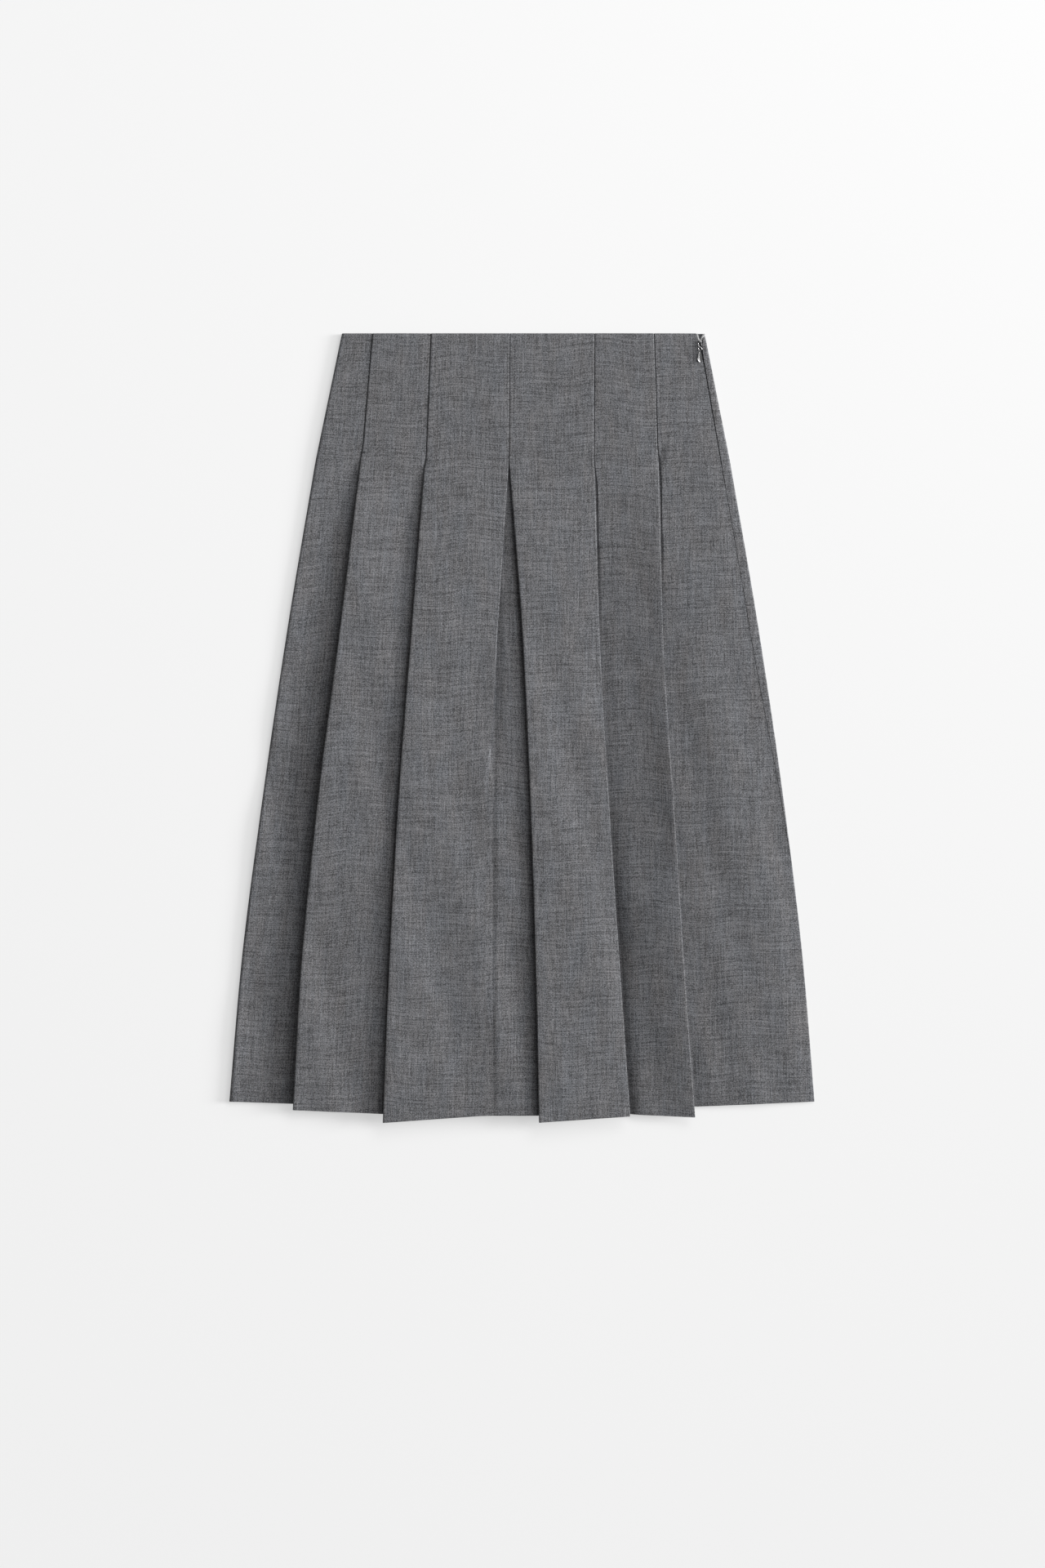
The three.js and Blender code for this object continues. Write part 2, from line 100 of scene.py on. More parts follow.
# length down the cloth: under the edge, at the hidden fold, at the edge
HEM_DOWN = {
    "outer_left": (762.2, 764.0, 767.6),
    "inner_left": (771.5, 774.6, 779.7),
    "centre_left": (772.6, 772.9, 773.3),
    "centre_right": (773.0, 775.8, 779.3),
    "inner_right": (772.2, 772.8, 773.6),
    "outer_right": (764.8, 769.5, 774.8),
}
SIDE_HEM = 760.0
BACK_HEM_MIDDLE = 763.0
BACK_STEPS = 48

# an edge's change from stitched to loose, in shares of the length from the end of its stitching
STITCH_FADE = (-0.004, 0.035)
JOG_FADE = (-0.004, 0.004)
SPRING_GROWS, SPRING_FADES = 0.09, (0.35, 0.95)
# where the groove beside a loose right-facing edge has closed, and how deep the grooves are
GROOVE_CLOSED = 0.42
LOOSE_GROOVE, STITCHED_GROOVE = 0.95, 0.3
# how square a loose edge is by the way it looks, from 2 for round
LOOSE_SQUARE = {1: 7.0, -1: 2.0}
# how far past the edge the panel below it goes out of sight, and how much further where a groove gapes
LIP_REACH, LIP_GAPE = 1.15, 2.0
HIDDEN_REACH, HIDDEN_GAPE = 0.75, 1.1
# the easing of a fold that opens out to the side fades between these widths
EASED_SHARE, EASED_WIDTHS = 0.48, (9.0, 12.0)
# name, the way its edge looks, where its stitching ends, how far the panel beside it rises in the yoke,
# how far the edge springs up just below the stitching, how square it is pressed in the yoke
PLEATS = (
    ("outer_left", -1, 0.153, 2.2, 1.6, 3.0),
    ("inner_left", -1, 0.163, 2.3, 2.0, 2.5),
    ("centre_left", 1, 0.166, 0.0, 0.0, 12.0),
    ("centre_right", -1, 0.166, 0.0, 2.6, 12.0),
    ("inner_right", 1, 0.168, 2.65, 0.3, 4.0),
    ("outer_right", 1, 0.154, 2.6, 1.4, 4.0),
)
# the stitched line lies this far behind the loose edge
STITCH_JOG = {"outer_left": 1.3, "inner_left": 1.4, "centre_left": 0, "centre_right": 0, "inner_right": 0.4,
              "outer_right": 0.6}
SIDE_SEAM = {"left": (-12, -12, -9, -6, -1, 4), "right": (6.3, 9.5, 9, 2.4, -3, -8)}
SIDE_TURN_R = {"left": (1.8, 1.8, 1.5, 1.8, 2.0, 2.1), "right": (1.7, 1.7, 1.0, 0.7, 0.7, 0.7)}
SLIT_SHARE, SLIT_FRONT, SLIT_BACK = 0.045, 2.2, 5.6

# swell of each panel above its plain shape, by share of its width: waist, release, thigh, knee, calf, hem
SWELL = {
    "left_side": ((0.12, (0, 0, -0.1, -0.3, -0.5, -0.6)), (0.4, (0, 0, -0.3, -0.5, -0.7, -0.8)),
                  (0.7, (0, 0, -0.2, -0.3, -0.4, -0.5))),
    "pleat_left": ((0.15, (0, 0, 0.1, -0.3, -1.0, -1.3)), (0.28, (0, 0, 0.1, -0.4, -1.3, -1.6)),
                   (0.6, (0, 0, 0.1, -0.3, -0.9, -1.1))),
    "box_left": ((0.25, (0, 0, 0.0, -0.4, -0.7, -0.7)), (0.6, (0, 0, -0.2, -0.8, -1.0, -1.0)),
                 (0.82, (0, 0, -0.3, -0.6, -0.5, -0.5))),
    "underlay": ((0.12, (0, 0.3, 0.75, 0.8, 0.8, 0.7)), (0.35, (0, 0.5, 1.9, 1.1, 0.8, 0.75)),
                 (0.6, (0, 0.5, 2.0, 1.3, 0.8, 0.7)), (0.82, (0, 0.3, 1.4, 0.9, 0.45, 0.35))),
    "box_right": ((0.25, (0, 0, 0.1, 0.1, 0.0, 0.0)), (0.6, (0, 0, 0.1, 0.1, 0.1, 0.1)),
                  (0.85, (0, 0, 0.1, 0.1, 0.1, 0.1))),
    "pleat_right": ((0.06, (0, 0, 0, 0.3, 1.6, 1.6)), (0.2, (0, 0, 0.1, 0.3, 2.6, 2.6)),
                    (0.5, (0, 0, -0.4, -0.6, 1.8, 2.0)), (0.75, (0, 0, -0.4, -0.8, 0.8, 1.0))),
    "right_side": ((0.2, (0, 0, 0.6, 1.0, 1.2, 1.3)), (0.5, (0, 0, 1.4, 2.0, 2.4, 2.5)),
                   (0.8, (0, 0, 1.0, 1.4, 1.6, 1.7))),
}
# the way the yarns lean on each panel, in degrees from the skirt's length
GRAIN = {"left_side": 5.2, "pleat_left": 3.2, "box_left": 0.6, "underlay": 0.2, "box_right": -0.2,
         "pleat_right": -1.2, "right_side": -0.8}
PANELS = tuple(GRAIN)
COUNTS = {"left_side": 30, "pleat_left": 34, "box_left": 40, "underlay": 26, "box_right": 38,
          "pleat_right": 30, "right_side": 44}
ARC_STEPS = 6
STATION_STEP = 0.0085


def smooth(xs, ys, at):
    """Value at a place on a smooth curve through points, which never swings past them."""
    i = min(max(int(np.searchsorted(xs, at, side="right")) - 1, 0), len(xs) - 2)
    slope = [(ys[k + 1] - ys[k]) / (xs[k + 1] - xs[k]) for k in range(max(i - 1, 0), min(i + 2, len(xs) - 1))]
    here = slope[i - max(i - 1, 0)]
    before = slope[0] if i > 0 else here
    after = slope[-1] if i < len(xs) - 2 else here
    join = lambda p, q: 0.0 if p * q <= 0 else 2 * p * q / (p + q)
    tangent_a = here if i == 0 else join(before, here)
    tangent_b = here if i == len(xs) - 2 else join(here, after)
    span = xs[i + 1] - xs[i]
    s = (at - xs[i]) / span
    return (ys[i] + (ys[i + 1] - ys[i]) * s * s * (3 - 2 * s)
            + span * s * (1 - s) * (tangent_a * (1 - s) - tangent_b * s))


def along(row, t):
    if t <= LEVELS[1]:
        return row[0] + (row[1] - row[0]) * t / LEVELS[1]
    return smooth(LEVELS[1:], row[1:], t)


def mix(a, b, s):
    return a + (b - a) * s


def step(a, b, x):
    s = min(max((x - a) / (b - a), 0.0), 1.0)
    return s * s * (3 - 2 * s)


def loose(t):
    return max(0.0, (t - LEVELS[1]) / (1 - LEVELS[1])) ** 0.75


class Pleat:
    """The places of one pleat at a share of the skirt's length."""

    def __init__(self, row, t):
        self.name, self.faces, release, rise, spring, square = row
        self.t = t
        self.stitched = 1 - step(release + STITCH_FADE[0], release + STITCH_FADE[1], t)
        in_seam = 1 - step(release + JOG_FADE[0], release + JOG_FADE[1], t)
        self.edge = along(EDGE_X[self.name], t) - self.faces * STITCH_JOG[self.name] * in_seam
        self.under, self.tuck_hem, self.edge_hem = HEM_DOWN[self.name]
        inset = FOLD_R + CLOTH_HALF
        tuck = self.edge - self.faces * along(TUCK_DEPTH[self.name], t)
        sprung = spring * step(release, release + SPRING_GROWS, t) * (1 - step(*SPRING_FADES, t))
        self.edge_centre = (self.edge - self.faces * inset, EDGE_Z + along(EDGE_LIFT[self.name], t) + sprung)
        self.tuck_centre = (tuck + self.faces * inset, TUCK_Z + along(TUCK_RAISE[self.name], t))
        if self.faces > 0:
            fading = 1 - step(release, GROOVE_CLOSED, t)
            self.groove = mix(LOOSE_GROOVE, STITCHED_GROOVE, self.stitched) * fading
            self.gape = (1 - self.stitched) * fading
        else:
            fading = self.stitched
            self.groove = STITCHED_GROOVE * self.stitched
            self.gape = 0.0
        self.rise = rise * fading
        self.corner = 2 / mix(LOOSE_SQUARE[self.faces], square, self.stitched)
        self.lift = along(LIP_LIFT[self.name], t)

    def top(self):
        return self.edge_centre[0], self.edge_centre[1] + FOLD_R, self.edge_hem

    def floor(self):
        return self.tuck_centre[0], self.tuck_centre[1] - FOLD_R, self.tuck_hem

    def lip(self):
        """Where the panel that passes below this edge goes out of sight."""
        reach = LIP_REACH + LIP_GAPE * self.gape
        return self.edge + self.faces * reach, LOW_Z + self.rise + self.lift, self.under

    def hidden(self):
        """The panel just behind the lip, from the lip inwards."""
        low, lip, free = mix(LOW_Z, self.floor()[1], 0.9), self.lip()[1], 1 - self.stitched
        reach = HIDDEN_REACH + HIDDEN_GAPE * self.gape
        return [(self.edge + self.faces * reach, mix(lip, low, self.groove), self.under),
                (self.edge - self.faces * 0.9, mix(low, lip, 0.85 * free), self.under),
                (self.edge - self.faces * 7.0, mix(low, lip, 0.45 * free), self.under)]

    def points(self):
        """Round the edge, back to the hidden fold and round that, left to right."""
        flip = self.faces
        ax, az = flip * self.edge_centre[0], self.edge_centre[1]
        bx, bz = flip * self.tuck_centre[0], self.tuck_centre[1]
        apart = math.hypot(bx - ax, bz - az)
        straight = math.sqrt(apart * apart - 4 * FOLD_R * FOLD_R)
        turn = math.atan2(az - bz, bx - ax) + math.atan2(2 * FOLD_R, straight)
        ease = EASED_SHARE * max(bx - ax, 0.0) * (1 - step(*EASED_WIDTHS, bx - ax))
        made = []
        for k in range(ARC_STEPS + 1):
            s = k / ARC_STEPS
            over, up = math.sin(turn * s), math.cos(turn * s)
            made.append((flip * (ax + FOLD_R * math.copysign(abs(over) ** self.corner, over) + ease * s),
                         az + FOLD_R * math.copysign(abs(up) ** self.corner, up), self.edge_hem))
        made.append((flip * mix(ax, bx, 0.5), mix(az, bz, 0.5), mix(self.edge_hem, self.tuck_hem, 0.5)))
        for k in range(ARC_STEPS, -1, -1):
            s = k / ARC_STEPS
            made.append((flip * (bx - FOLD_R * math.sin(turn * s) - ease * s),
                         bz - FOLD_R * math.cos(turn * s), self.tuck_hem))
        return made if flip > 0 else made[::-1]

    def over_tuck(self, far):
        """Knots of the panel above its own hidden fold, from the edge inwards."""
        near = self.top()
        made = []
        for share, swell in ((0.2, 0.3), (0.45, 0.5), (0.75, 0.5), (1.0, 0.4)):
            x = mix(near[0], self.floor()[0], share)
            s = (x - near[0]) / (far[0] - near[0])
            shelf = mix(near[1], self.tuck_centre[1] + FOLD_R + LAYER, share)
            z = max(mix(near[1], far[1], s), shelf) + swell * loose(self.t)
            made.append((x, z, mix(near[2], far[2], s)))
        return made


def panel(name, knots, t):
    """Points of one panel between its first and last knot, both left out."""
    knots = sorted(knots)
    xs, zs, hems = (np.array([k[i] for k in knots]) for i in range(3))
    shares = [0.0] + [row[0] for row in SWELL[name]] + [1.0]
    swells = [0.0] + [along(row[1], t) for row in SWELL[name]] + [0.0]
    made = []
    for k in range(1, COUNTS[name]):
        s = k / COUNTS[name]
        x = mix(xs[0], xs[-1], s)
        made.append((x, smooth(xs, zs, x) + smooth(shares, swells, s), float(np.interp(x, xs, hems))))
    return made


def side_way(side, t, up):
    gap = mix(0.95, 0.4, step(0.08, 0.26, t))
    way = along(SIDE_SEAM[side], t) + up * gap / 2
    opened = max(0.0, 1 - t / SLIT_SHARE) if side == "right" else 0.0
    return way + opened * (SLIT_FRONT if up > 0 else -SLIT_BACK * opened ** 3)


def side_turn(side, t, up):
    """The cloth round one side, away from the seam. Each point ends with the way through the wall."""
    inward = 1 if side == "left" else -1
    r = along(SIDE_TURN_R[side], t)
    quarter = math.pi / 2 * r
    start = side_way(side, t, up)
    ways = [start]
    for k in range(ARC_STEPS + 1):
        on_arc = up * quarter * (2 * k / ARC_STEPS - 1)
        clear = start + up * 0.3 * (k + 1)
        ways.append(max(on_arc, clear) if up > 0 else min(on_arc, clear))
    made = []
    for way in ways:
        a = min(max(way / r, -math.pi / 2), math.pi / 2)
        beyond = max(0.0, abs(way) - quarter)
        ox, oz = -inward * math.cos(a), math.sin(a)
        made.append((along(EDGE_X[side], t) + inward * (CLOTH_HALF + r) + r * ox + inward * beyond,
                     BACK_Z + r + r * oz, SIDE_HEM, ox, oz))
    return made


def front_section(t):
    """(points, panel of each) from the left side seam to the right one."""
    a, b, c, d, e, f = (Pleat(row, t) for row in PLEATS)
    left, right = side_turn("left", t, 1), side_turn("right", t, 1)[::-1]
    halfway = lambda p, q: tuple(mix(p[i], q[i], 0.5) for i in range(3))
    over_a, over_b, over_d = a.over_tuck(b.lip()), b.over_tuck(c.top()), d.over_tuck(e.top())
    over_e, over_f = e.over_tuck(d.top()), f.over_tuck(e.lip())
    parts = [
        ("left_side", left),
        ("left_side", panel("left_side", [left[-1][:3], a.lip()], t) + [a.lip()] + a.hidden()),
        ("left_side", a.points()[:ARC_STEPS + 2]), ("pleat_left", a.points()[ARC_STEPS + 2:]),
        ("pleat_left", panel("pleat_left", [a.top(), *over_a, halfway(over_a[-1], b.lip()), b.lip()], t)),
        ("pleat_left", [b.lip()] + b.hidden()),
        ("pleat_left", b.points()[:ARC_STEPS + 2]), ("box_left", b.points()[ARC_STEPS + 2:]),
        ("box_left", panel("box_left", [b.top(), *over_b, halfway(over_b[-1], c.top()), c.top()], t)),
        ("box_left", c.points()[:ARC_STEPS + 2]), ("underlay", c.points()[ARC_STEPS + 2:]),
        ("underlay", panel("underlay", [c.floor(), d.lip()], t) + [d.lip()] + d.hidden()),
        ("underlay", d.points()[:ARC_STEPS + 2]), ("box_right", d.points()[ARC_STEPS + 2:]),
        ("box_right", panel("box_right", [d.top(), *over_d, *over_e, e.top()], t)),
        ("box_right", e.points()[:ARC_STEPS + 2]), ("pleat_right", e.points()[ARC_STEPS + 2:]),
        ("pleat_right", e.hidden()[::-1] + [e.lip()]),
        ("pleat_right", panel("pleat_right", [e.lip(), halfway(e.lip(), over_f[-1]), *over_f, f.top()], t)),
        ("pleat_right", f.points()[:ARC_STEPS + 2]), ("right_side", f.points()[ARC_STEPS + 2:]),
        ("right_side", f.hidden()[::-1] + [f.lip()]),
        ("right_side", panel("right_side", [f.lip(), right[0][:3]], t)),
        ("right_side", right),
    ]
    points = [p for _, group in parts for p in group]
    names = [PANELS.index(name) for name, group in parts for _ in group]
    return points, names


def back_section(t):
    left, right = side_turn("left", t, -1), side_turn("right", t, -1)[::-1]
    flat = []
    for k in range(1, BACK_STEPS):
        s = k / BACK_STEPS
        hem = mix(SIDE_HEM, BACK_HEM_MIDDLE, 4 * s * (1 - s))
        flat.append((mix(left[-1][0], right[0][0], s), BACK_Z, hem))
    points = left + flat + right
    return points, [PANELS.index("underlay")] * len(points)


# small puckers: place, half width, half height, depth, lean in degrees
DENTS = (
    (136.8, 269.5, 2.4, 9.0, -2.4, 24),
    (-157.0, 270.0, 4.0, 6.0, -0.5, 0),
    (-95.5, 262.0, 4.0, 8.0, -0.5, 0),
    (-20.0, 262.0, 6.0, 10.0, 0.35, -20),
    (-2.0, 262.0, 6.0, 10.0, 0.35, 20),
    (74.5, 258.0, 1.6, 9.0, -0.6, 0),
)
# width, height, start and size of each wave
WAVES = ((61, 210, 0.7, 0.33), (97, 340, 2.1, 0.45), (38, 150, 4.0, 0.13), (143, 120, 5.2, 0.22))


def unevenness(x, y, t):
    """Soft waves of the laid cloth, faint in the yoke."""
    amount = 0.16 + 0.84 * step(0.15, 0.6, t)
    made = amount * sum(size * math.sin(2 * math.pi * (x / across + y / down) + phase)
                        for across, down, phase, size in WAVES)
    for cx, cy, half_x, half_y, depth, lean in DENTS:
        if abs(y - cy) < 3 * half_y and abs(x - cx) < 3 * half_y:
            c, d = math.cos(math.radians(lean)), math.sin(math.radians(lean))
            across, down = (x - cx) * c - (y - cy) * d, (x - cx) * d + (y - cy) * c
            made += depth * math.exp(-(across / half_x) ** 2 - (down / half_y) ** 2)
    return made


# the rounding of the waist and hem edges: how far inside the end, and the share of the thickness there
RIM = ((0.45, 1.0), (0.2, 0.8), (0.0, 0.35))
SHARP_ANGLE = math.radians(50)


def cloth_shell(name, section, wavy):
    """A closed shell of cloth from sections down the skirt, rounded at its waist and hem edges."""
    shares = [0.0] + list(np.arange(STATION_STEP, 1 - STATION_STEP / 2, STATION_STEP)) + [1.0]
    rims = ([(0.0, back, thick) for back, thick in reversed(RIM)] + [(t, 0, 1.0) for t in shares[1:-1]]
            + [(1.0, -back, thick) for back, thick in RIM])
    rows, kinds = [], None
    for t, beyond, share in rims:
        points, kinds = section(t)
        p = np.array([q[:2] for q in points])
        hem = np.array([q[2] for q in points])
        u = np.diff(p, axis=0)
        u /= np.linalg.norm(u, axis=1)[:, None]
        before, after = np.vstack([u[:1], u]), np.vstack([u, u[-1:]])
        normal = np.stack([-(before + after)[:, 1], (before + after)[:, 0]], 1)
        normal /= np.linalg.norm(normal, axis=1)[:, None]
        for i in (0, -1):
            out = np.array(points[i][3:5])
            normal[i] = out * np.sign(np.dot(out, normal[i]))
        mitre = np.maximum(0.7, np.sqrt((1 + (before * after).sum(1)) / 2))
        reach = (WALL / 2 * share / mitre)[:, None]
        y = HALF_LENGTH - t * hem - beyond
        if wavy:
            p[:, 1] += [unevenness(x, yy, t) * step(LOW_Z + 0.1, LOW_Z + 2.0, z) for (x, z), yy in zip(p, y)]
        both = np.stack([p + reach * normal, p - reach * normal], 1)
        rows.append(np.stack([both[:, :, 0], np.repeat(y[:, None], 2, 1), both[:, :, 1]], 2))
    across, down = len(kinds), len(rows)
    verts = (np.array(rows) * MM).reshape(-1, 3)
    at = lambda j, i, face: (j * across + i) * 2 + face
    faces, kind = [], []
    for j in range(down - 1):
        for i in range(across - 1):
            faces.append((at(j, i, 0), at(j + 1, i, 0), at(j + 1, i + 1, 0), at(j, i + 1, 0)))
            faces.append((at(j, i, 1), at(j, i + 1, 1), at(j + 1, i + 1, 1), at(j + 1, i, 1)))
            kind += [kinds[i + 1]] * 2
        faces.append((at(j, 0, 0), at(j, 0, 1), at(j + 1, 0, 1), at(j + 1, 0, 0)))
        last = across - 1
        faces.append((at(j, last, 0), at(j + 1, last, 0), at(j + 1, last, 1), at(j, last, 1)))
        kind += [kinds[0], kinds[-1]]
    for i in range(across - 1):
        faces.append((at(0, i, 0), at(0, i + 1, 0), at(0, i + 1, 1), at(0, i, 1)))
        end = down - 1
        faces.append((at(end, i, 0), at(end, i, 1), at(end, i + 1, 1), at(end, i + 1, 0)))
        kind += [kinds[i + 1]] * 2
    mesh = bpy.data.meshes.new(name)
    mesh.from_pydata(verts.tolist(), [], faces)
    mesh.update()
    uv = mesh.uv_layers.new(name="yarns")
    loop_vertex = np.zeros(len(mesh.loops), int)
    mesh.loops.foreach_get("vertex_index", loop_vertex)
    lean = np.radians(np.array([GRAIN[PANELS[k]] for k in kind]))
    shift = np.array(kind) * 0.37
    lean, shift = np.repeat(lean, 4), np.repeat(shift, 4)
    x, y = verts[loop_vertex, 0], verts[loop_vertex, 1]
    drawn = MM * (1.5 * np.sin(2 * np.pi * x / 0.131 + 3.1 * y)
                  + 1.1 * np.sin(2 * np.pi * x / 0.073 + 9.0 * y + 1.2))
    flat = np.stack([x * np.cos(lean) - y * np.sin(lean) + 0.4 * drawn + shift, y + drawn + shift], 1)
    uv.data.foreach_set("uv", flat.ravel())
    piece = bpy.data.objects.new(name, mesh)
    bpy.context.scene.collection.objects.link(piece)
    bpy.context.view_layer.objects.active = piece
    piece.select_set(True)
    bpy.ops.object.shade_smooth_by_angle(angle=SHARP_ANGLE)
    piece.select_set(False)
    return piece


# ---------------------------------------------------------------- materials
class Value:
    """A number socket that takes part in ordinary arithmetic."""

    def __init__(self, finish, socket):
        self.finish, self.socket = finish, socket

    def math(self, operation, *others):
        node = self.finish.tree.nodes.new("ShaderNodeMath")
        node.operation = operation
        for socket, value in zip(node.inputs, (self, *others)):
            self.finish.put(socket, value)
        return Value(self.finish, node.outputs[0])

    def __add__(self, other): return self.math("ADD", other)
    def __radd__(self, other): return self.math("ADD", other)
    def __sub__(self, other): return self.math("SUBTRACT", other)
    def __rsub__(self, other): return (self * -1.0).math("ADD", other)
    def __mul__(self, other): return self.math("MULTIPLY", other)
    def __rmul__(self, other): return self.math("MULTIPLY", other)
    def clamp(self): return self.math("MAXIMUM", 0.0).math("MINIMUM", 1.0)


class Finish:
    """A node material under construction."""

    def __init__(self, name, **constants):
        self.material = bpy.data.materials.new(name)
        self.material.use_nodes = True
        self.tree = self.material.node_tree
        self.shader = self.tree.nodes["Principled BSDF"]
        for key, value in constants.items():
            self.shader.inputs[key.replace("_", " ")].default_value = value

    def put(self, socket, value):
        if isinstance(value, Value):
            self.tree.links.new(value.socket, socket)
        else:
            socket.default_value = value

    def node(self, kind, settings=None, output=0, **values):
        node = self.tree.nodes.new(kind)
        for key, value in (settings or {}).items():
            if key == "stops":
                ramp = node.color_ramp.elements
                while len(ramp) < len(value):
                    ramp.new(0.5)
                for stop, (place, colour) in zip(ramp, value):
                    stop.position, stop.color = place, colour
            else:
                setattr(node, key, value)
        for key, value in values.items():
            index = int(key[1:]) if key[1:].isdigit() else key.replace("_", " ")
            self.put(node.inputs[index], value)
        return Value(self, node.outputs[output])

    def noise(self, vector, scale, detail=0.0, roughness=0.5):
        return self.node("ShaderNodeTexNoise", {"noise_dimensions": "3D", "normalize": True}, Vector=vector,
                         Scale=scale, Detail=detail, Roughness=roughness)

    def place(self, vector, scale, turn=(0, 0, 0), location=(0, 0, 0)):
        return self.node("ShaderNodeMapping", Vector=vector, Scale=scale, Rotation=turn, Location=location)

    def blend(self, a, b, factor, mode="MIX"):
        return self.node("ShaderNodeMix", {"data_type": "RGBA", "blend_type": mode}, output=2,
                         _0=factor, _6=a, _7=b)


WOOL = (0.1190, 0.1225, 0.1320, 1)
WOOL_WARM = (0.1245, 0.1225, 0.1265, 1)


def wool_finish(name):
    """Melange plain weave: fine speckle, slubbed yarns both ways, soft nap."""
    f = Finish(name, Roughness=0.92, Specular_IOR_Level=0.18, Sheen_Weight=0.1, Sheen_Roughness=0.55)
    yarns = f.node("ShaderNodeUVMap", {"uv_map": "yarns"})

    def streak(across, along_yarn, layer):
        return f.noise(f.place(yarns, (1 / (across * MM), 1 / (along_yarn * MM), 1), (0.6, 0.4, 0.75),
                               (0, 0, layer)), 1.0) - 0.5

    speckle = streak(0.95, 0.95, 2)
    warp, weft = streak(0.85, 18, 9), streak(22, 0.85, 14)
    warp_slub, weft_slub = streak(1.05, 62, 21), streak(78, 1.05, 27)
    cloud = streak(26, 34, 33)
    tone = (1.0 + 2.1 * speckle + 0.84 * warp + 0.92 * weft + 0.46 * warp_slub + 0.52 * weft_slub
            + 0.03 * cloud).math("MAXIMUM", 0.4)
    base = f.blend(WOOL, WOOL_WARM, (1.2 * streak(17, 38, 41) + 0.8 * streak(3, 40, 47) + 0.5).clamp())
    grey = f.node("ShaderNodeCombineColor", _0=tone, _1=tone, _2=tone)
    f.put(f.shader.inputs["Base Color"], f.blend(base, grey, 1.0, "MULTIPLY"))
    height = 0.5 * warp + 0.5 * weft + 0.5 * speckle
    f.put(f.shader.inputs["Normal"],
          f.node("ShaderNodeBump", Strength=0.2, Distance=0.15 * MM, Height=height))
    return f.material


def metal_finish(name, dark, light):
    f = Finish(name, Metallic=1.0, Roughness=0.25)
    place = f.node("ShaderNodeTexCoord", output=3)
    grain = f.noise(f.place(place, (1400, 60, 1400)), 1.0, 2.0)
    wear = f.noise(f.place(place, (260, 260, 260)), 1.0, 2.0)
    f.put(f.shader.inputs["Base Color"], f.blend(dark, light, wear.clamp()))
    f.put(f.shader.inputs["Roughness"], 0.17 + 0.08 * grain)
    f.put(f.shader.inputs["Normal"], f.node("ShaderNodeBump", Strength=0.1, Distance=0.02 * MM, Height=grain))
    return f.material


def tape_finish():
    f = Finish("woven_tape", Roughness=0.85, Specular_IOR_Level=0.25)
    place = f.node("ShaderNodeTexCoord", output=3)
    rib = f.node("ShaderNodeTexWave", {"bands_direction": "Y"}, output=1,
                 Vector=place, Scale=400.0, Distortion=0.4)
    speck = f.noise(f.place(place, (1500, 1500, 1500)), 1.0, 1.0)
    f.put(f.shader.inputs["Base Color"],
          f.blend((0.05, 0.052, 0.058, 1), (0.1, 0.102, 0.11, 1), (0.6 * rib + 0.4 * speck).clamp()))
    f.put(f.shader.inputs["Normal"], f.node("ShaderNodeBump", Strength=0.4, Distance=0.1 * MM, Height=rib))
    return f.material


def coil_finish():
    f = Finish("zip_coil_nylon", Roughness=0.35, Specular_IOR_Level=0.5)
    place = f.node("ShaderNodeTexCoord", output=3)
    speck = f.noise(f.place(place, (700, 700, 700)), 1.0, 1.0)
    f.put(f.shader.inputs["Base Color"], f.blend((0.55, 0.55, 0.56, 1), (0.78, 0.78, 0.78, 1), speck.clamp()))
    return f.material


def thread_finish():
    f = Finish("sewing_thread", Roughness=0.7, Specular_IOR_Level=0.3)
    place = f.node("ShaderNodeTexCoord", output=3)
    ply = f.node("ShaderNodeTexWave", {"bands_direction": "DIAGONAL"}, output=1, Vector=place, Scale=900.0)
    f.put(f.shader.inputs["Base Color"], f.blend((0.022, 0.023, 0.026, 1), (0.045, 0.046, 0.05, 1), ply))
    return f.material


def floor_finish():
    f = Finish("pale_floor", Roughness=0.95, Specular_IOR_Level=0.0, Emission_Color=(1, 1, 1, 1),
               Emission_Strength=0.52)
    place = f.node("ShaderNodeTexCoord", output=3)
    speck = f.noise(f.place(place, (1.2, 1.2, 1.2)), 1.0, 2.0)
    f.put(f.shader.inputs["Base Color"],
          f.blend((0.378, 0.378, 0.378, 1), (0.384, 0.384, 0.384, 1), speck.clamp()))
    return f.material


# ---------------------------------------------------------------- the cloth
wool = wool_finish("melange_wool")
front = cloth_shell("front_cloth", front_section, True)
back = cloth_shell("back_cloth", back_section, False)
for piece, node in ((front, "front_panel"), (back, "back_panel")):
    piece.data.materials.append(wool)
    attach(piece, "skirt")
    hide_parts(node)

# ---------------------------------------------------------------- the zip
def everywhere(x, y, z):
    return True


def edit(choose, operator, **settings):
    """One edit-mode operator on the vertices of the active piece chosen by place, in millimetres."""
    piece = bpy.context.object
    for part in (piece.data.vertices, piece.data.edges, piece.data.polygons):
        part.foreach_set("select", [False] * len(part))
    for vertex in piece.data.vertices:
        vertex.select = choose(*(piece.matrix_world @ vertex.co / MM))
    bpy.ops.object.mode_set(mode="EDIT")
    bpy.ops.mesh.select_mode(type="VERT")
    operator(**settings)
    bpy.ops.object.mode_set(mode="OBJECT")


def block(low, high, round_off, segments=2):
    """A block between two corners, in millimetres, with rounded edges."""
    middle = [(a + b) / 2 * MM for a, b in zip(low, high)]
    bpy.ops.mesh.primitive_cube_add(size=1, location=middle)
    piece = bpy.context.object
    piece.scale = [(b - a) * MM for a, b in zip(low, high)]
    bpy.ops.object.transform_apply(location=True, rotation=True, scale=True)
    edit(everywhere, bpy.ops.mesh.bevel, offset=round_off * MM, segments=segments, affect="EDGES")
    return piece


